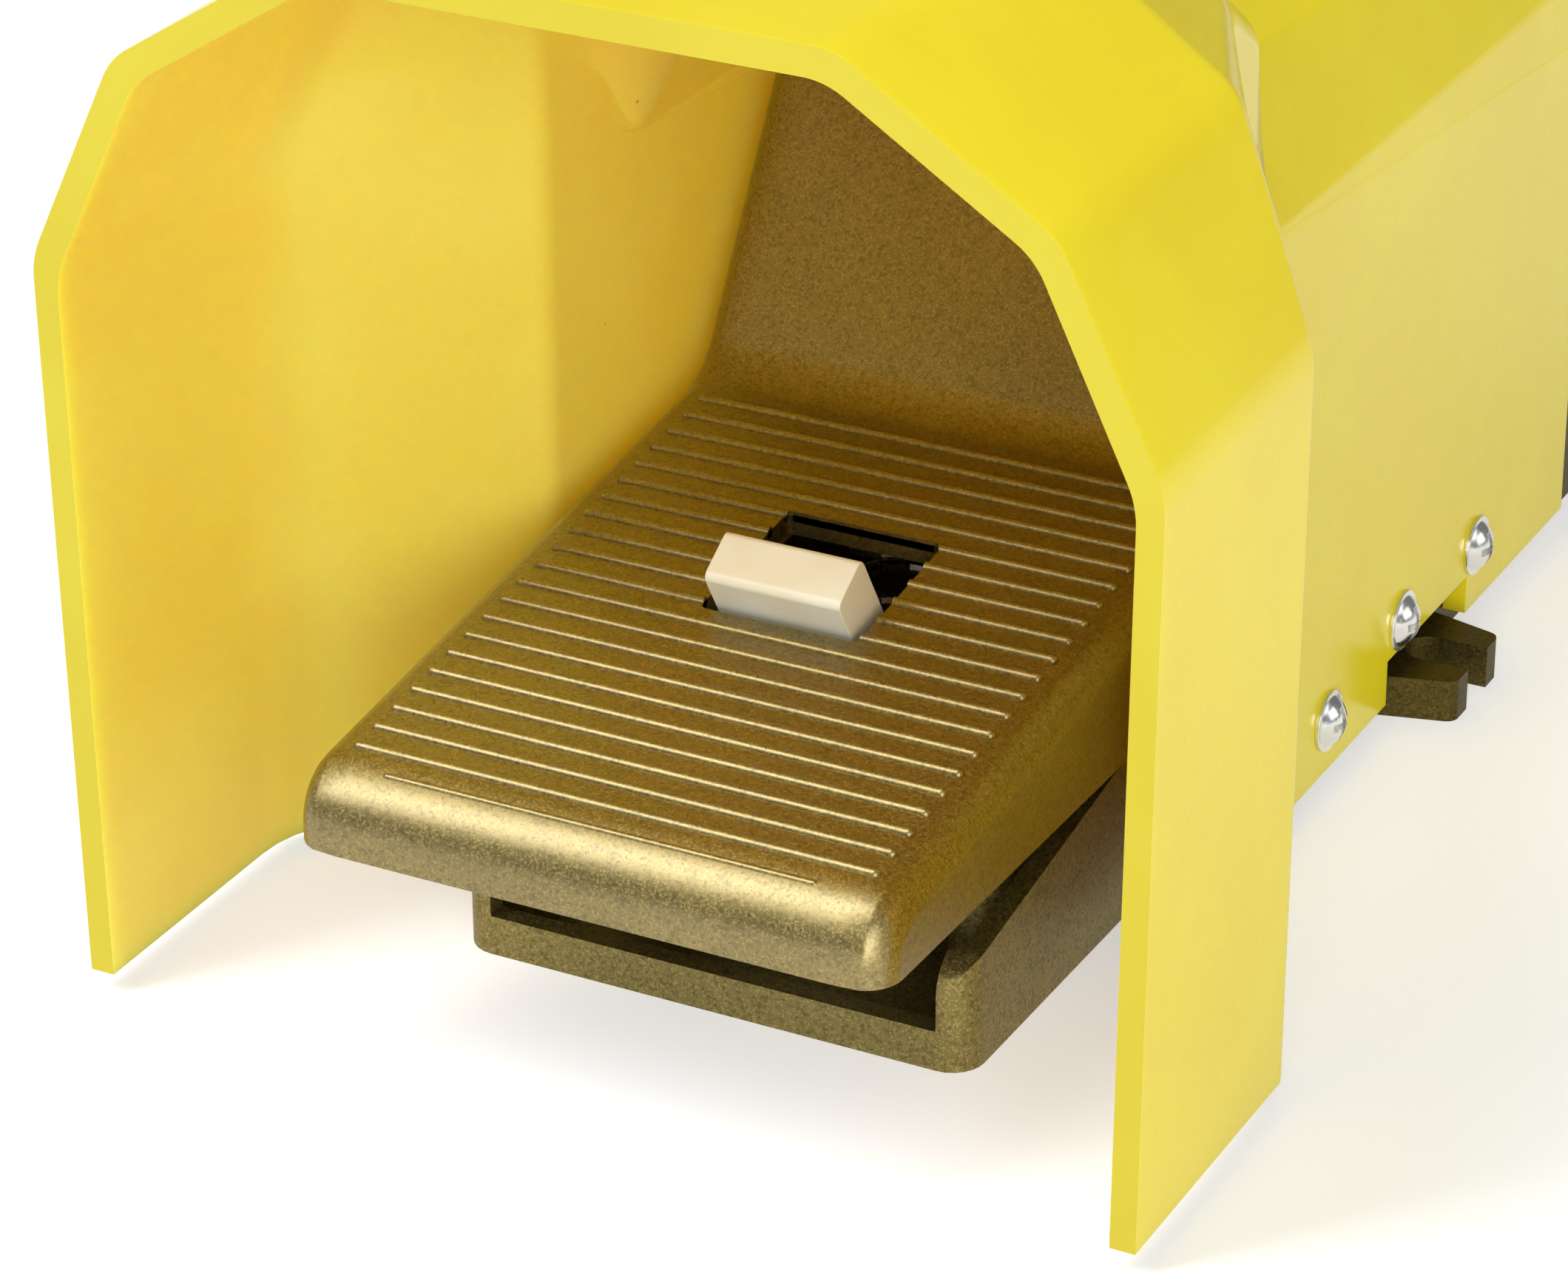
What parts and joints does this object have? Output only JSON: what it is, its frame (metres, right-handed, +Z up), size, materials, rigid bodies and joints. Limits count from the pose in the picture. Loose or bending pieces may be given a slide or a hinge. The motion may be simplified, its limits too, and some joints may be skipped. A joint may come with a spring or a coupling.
{
  "type": "foot pedal valve",
  "caption": "Ribbed foot pedal on a cast base inside a faceted moulded guard, driving a spool valve with threaded ports, with a lock lever through the tread",
  "frame": {"origin": "centre of the bounding box in plan, at the level of the floor that the base stands on", "axes": "the mouth of the guard and the pedal's nose face -Y, the valve's ports are at the +Y end, +Z is up and the shape is symmetric about x = 0 apart from the ports"},
  "size_m": [0.132, 0.2516, 0.13],
  "materials": {
    "guard": "moulded yellow plastic, glossy",
    "pedal": "gold-bronze metallic paint on a die casting",
    "base": "dark bronze paint on a sandy die casting",
    "screw": "bright zinc plate",
    "steel": "bright drawn steel",
    "spring": "spring steel",
    "nylon": "cream nylon",
    "rubber": "black rubber",
    "valve": "clear anodised",
    "cap": "grey anodised die casting"
  },
  "bodies": {
    "base_body": {"base": "base", "guard": "guard", "guard_screws": "screw", "pivot_pin": "steel", "return_spring": "spring", "press_buffers": "rubber", "rest_buffers": "rubber", "lock_strike": "steel", "strike_screws": "screw", "valve_body": "valve", "valve_screws": "steel", "spool_spring": "spring", "front_cap": "cap", "rod_wiper": "rubber", "rear_cap": "cap", "cap_gaskets": "rubber", "cap_screws": "steel"},
    "pedal_body": {"pedal": "pedal", "pivot_bushes": "nylon", "lock_pin": "steel", "lock_spring": "spring", "drive_pin": "steel", "drive_clips": "steel"},
    "lever_body": {"lock_lever": "nylon"},
    "spool_body": {"spool": "steel", "spool_seals": "rubber"}
  },
  "joints": [
    {"name": "pedal_press", "type": "hinge", "parent": "base_body", "child": "pedal_body", "pos_m": [0, 0.01575, 0.013], "axis": [1, 0, 0], "range_deg": [0, 8], "stiffness_Nm_per_rad": 7.5, "springref_deg": -8.59, "deforming": ["return_spring"]},
    {"name": "lever_swing", "type": "hinge", "parent": "pedal_body", "child": "lever_body", "pos_m": [0, -0.06695, 0.02865], "axis": [-1, 0, 0], "range_deg": [0, 20], "stiffness_Nm_per_rad": 0.05, "springref_deg": -11.46},
    {"name": "spool_slide", "type": "slide", "parent": "base_body", "child": "spool_body", "axis": [0, -1, 0], "range_m": [0, 0.0045], "stiffness_N_per_m": 600, "springref_m": -0.005, "deforming": ["spool_spring"]}
  ],
  "couplings": [
    {"joint": "spool_slide", "follows": "pedal_press", "m_per_rad": 0.0316}
  ]
}
